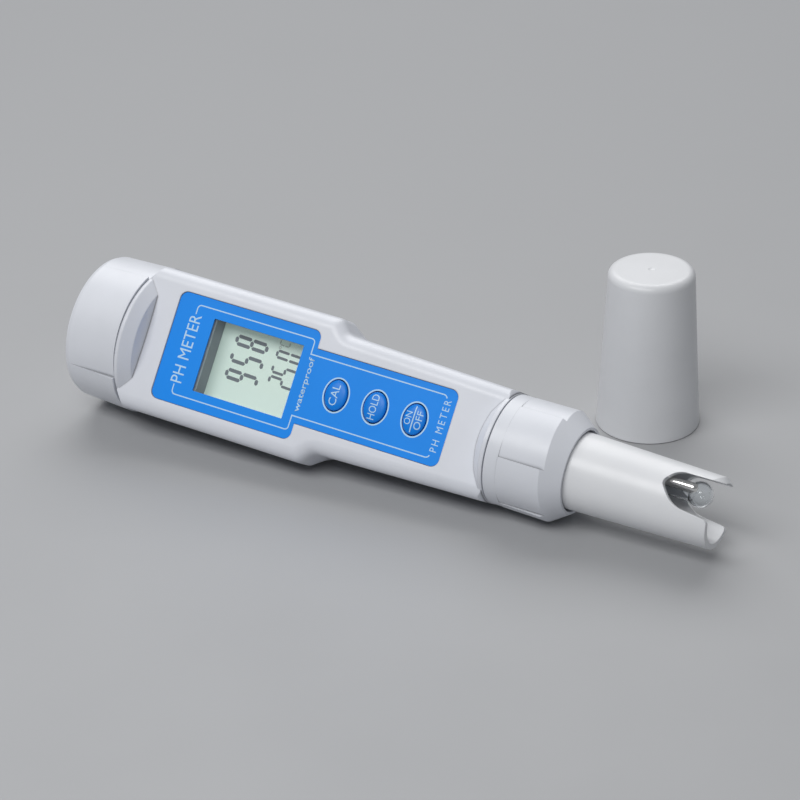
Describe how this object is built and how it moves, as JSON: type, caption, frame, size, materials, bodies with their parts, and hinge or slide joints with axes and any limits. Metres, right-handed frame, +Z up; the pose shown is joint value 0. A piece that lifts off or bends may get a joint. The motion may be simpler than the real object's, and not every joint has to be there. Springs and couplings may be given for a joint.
{
  "type": "ph meter",
  "caption": "Pocket pH meter with a screw battery cap, display, press keys, a replaceable electrode held by a collar nut, and a separate protective cap",
  "frame": {"origin": "on the ground under the middle of the whole object", "axes": "+X runs along the pen from the battery cap to the electrode tip, -Y faces the viewer, +Z is up"},
  "size_m": [0.1768, 0.0866, 0.043],
  "materials": {
    "shell_white": "satin",
    "cap_white": "satin",
    "collar_white": "satin",
    "guard_white": "satin",
    "cover_white": "satin",
    "label_blue": "satin",
    "key_blue": "satin",
    "window_clear": "polished",
    "lcd_glass": "polished",
    "reflector_silver": "satin",
    "holder_grey": "matt",
    "seal_rubber": "matt",
    "switch_plastic": "matt",
    "board_green": "satin",
    "chip_black": "matt",
    "screw_steel": "satin",
    "wire_cover": "satin",
    "socket_black": "matt",
    "cell_steel": "polished",
    "spring_steel": "polished",
    "contact_brass": "polished",
    "bulb_glass": "polished",
    "silver": "satin",
    "rod_steel": "polished",
    "bead_black": "matt",
    "junction_ceramic": "matt",
    "core_white": "satin"
  },
  "bodies": {
    "meter": {"battery_holder": "socket_black", "button_cells": "cell_steel", "positive_contact": "contact_brass", "negative_contact_ring": "contact_brass", "housing": "shell_white", "back_cover": "shell_white", "cover_screws": "screw_steel", "back_cover_gasket": "seal_rubber", "battery_neck_seal": "seal_rubber", "label_overlay": "label_blue", "display_window": "window_clear", "display_holder": "holder_grey", "lcd_glass": "lcd_glass", "lcd_reflector": "reflector_silver", "elastomer_strips": "seal_rubber", "keypad_gasket": "seal_rubber", "circuit_board": "board_green", "board_components": "chip_black", "board_screws": "screw_steel", "key_switches": "switch_plastic", "battery_leads": "wire_cover", "probe_leads": "wire_cover", "probe_socket": "socket_black"},
    "battery_contact_travel": {"battery_cap_contact": "contact_brass", "battery_spring": "spring_steel"},
    "battery_cap": {"battery_cap": "cap_white"},
    "electrode_module": {"guard_tube": "guard_white", "glass_electrode": "bulb_glass", "silver_wire": "silver", "temperature_rod": "rod_steel", "thermistor": "bead_black", "reference_junction": "junction_ceramic", "electrode_core": "core_white", "electrode_plug": "socket_black", "plug_pins": "contact_brass", "plug_seal": "seal_rubber"},
    "collar_nut": {"collar_nut": "collar_white"},
    "cal_key": {"cal_key": "key_blue", "cal_switch_plunger": "switch_plastic"},
    "hold_key": {"hold_key": "key_blue", "hold_switch_plunger": "switch_plastic"},
    "power_key": {"power_key": "key_blue", "power_switch_plunger": "switch_plastic"},
    "protective_cap": {"protective_cap": "cover_white"}
  },
  "joints": [
    {"name": "battery_cap_travel", "type": "slide", "parent": "meter", "child": "battery_contact_travel", "axis": [-0.9989, 0, 0.046], "range_m": [0, 0.0075]},
    {"name": "battery_cap_turn", "type": "hinge", "parent": "battery_contact_travel", "child": "battery_cap", "pos_m": [-0.08765, -0.02382, 0.02017], "axis": [-0.9989, 0, 0.046], "range_deg": [0, 1080]},
    {"name": "electrode_travel", "type": "slide", "parent": "meter", "child": "electrode_module", "axis": [0.9989, 0, -0.046], "range_m": [0, 0.0075]},
    {"name": "collar_turn", "type": "hinge", "parent": "electrode_module", "child": "collar_nut", "pos_m": [0.04221, -0.02382, 0.01419], "axis": [0.9989, 0, -0.046], "range_deg": [0, 1080]},
    {"name": "cal_key_press", "type": "slide", "parent": "meter", "child": "cal_key", "axis": [-0.0668, 0.8254, -0.5606], "range_m": [0, 0.0005], "stiffness_N_per_m": 400, "springref_m": -0.002},
    {"name": "hold_key_press", "type": "slide", "parent": "meter", "child": "hold_key", "axis": [-0.0668, 0.8254, -0.5606], "range_m": [0, 0.0005], "stiffness_N_per_m": 400, "springref_m": -0.002},
    {"name": "power_key_press", "type": "slide", "parent": "meter", "child": "power_key", "axis": [-0.0668, 0.8254, -0.5606], "range_m": [0, 0.0005], "stiffness_N_per_m": 400, "springref_m": -0.002},
    {"name": "protective_cap_lift", "type": "slide", "parent": "meter", "child": "protective_cap", "axis": [0, 0, 1], "range_m": [0, 0.05]}
  ],
  "couplings": [
    {"joint": "battery_cap_travel", "follows": "battery_cap_turn", "m_per_rad": 0.00039789},
    {"joint": "electrode_travel", "follows": "collar_turn", "m_per_rad": 0.00039789}
  ]
}
